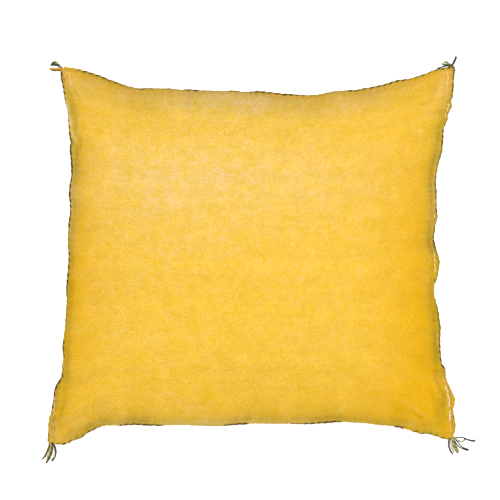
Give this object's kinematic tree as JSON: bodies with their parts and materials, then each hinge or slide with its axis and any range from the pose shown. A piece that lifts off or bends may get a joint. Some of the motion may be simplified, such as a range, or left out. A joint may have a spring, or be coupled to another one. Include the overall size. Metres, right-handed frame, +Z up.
{
  "type": "throw cushion",
  "caption": "Square filled throw cushion of plain handwoven cloth with a whip-stitched edge and a small yarn tassel at each corner, lying on its back.",
  "frame": {"origin": "on the floor under the middle of the cushion's outline, tassels included", "axes": "+Z up, out of the cushion's face; +X towards the right edge and +Y towards the top edge, as seen face on"},
  "size_m": [0.538, 0.5002, 0.1302],
  "materials": {
    "cover_cloth": "golden-yellow handwoven twill with a soft silky sheen",
    "edge_silk": "pale and golden silk strands bound with dark blue-grey yarn in slanted stitches",
    "tassel_yarn": "matt twisted yarn ends in dark blue-grey, olive and cream"
  },
  "bodies": {
    "root": {"cushion": "cover_cloth", "edge_bundle_bottom": "edge_silk", "edge_bundle_top": "edge_silk", "edge_bundle_left": "edge_silk", "edge_bundle_right": "edge_silk", "tassel_bottom_right": "tassel_yarn", "tassel_bottom_left": "tassel_yarn", "tassel_top_left": "tassel_yarn", "tassel_top_right": "tassel_yarn"}
  },
  "joints": []
}
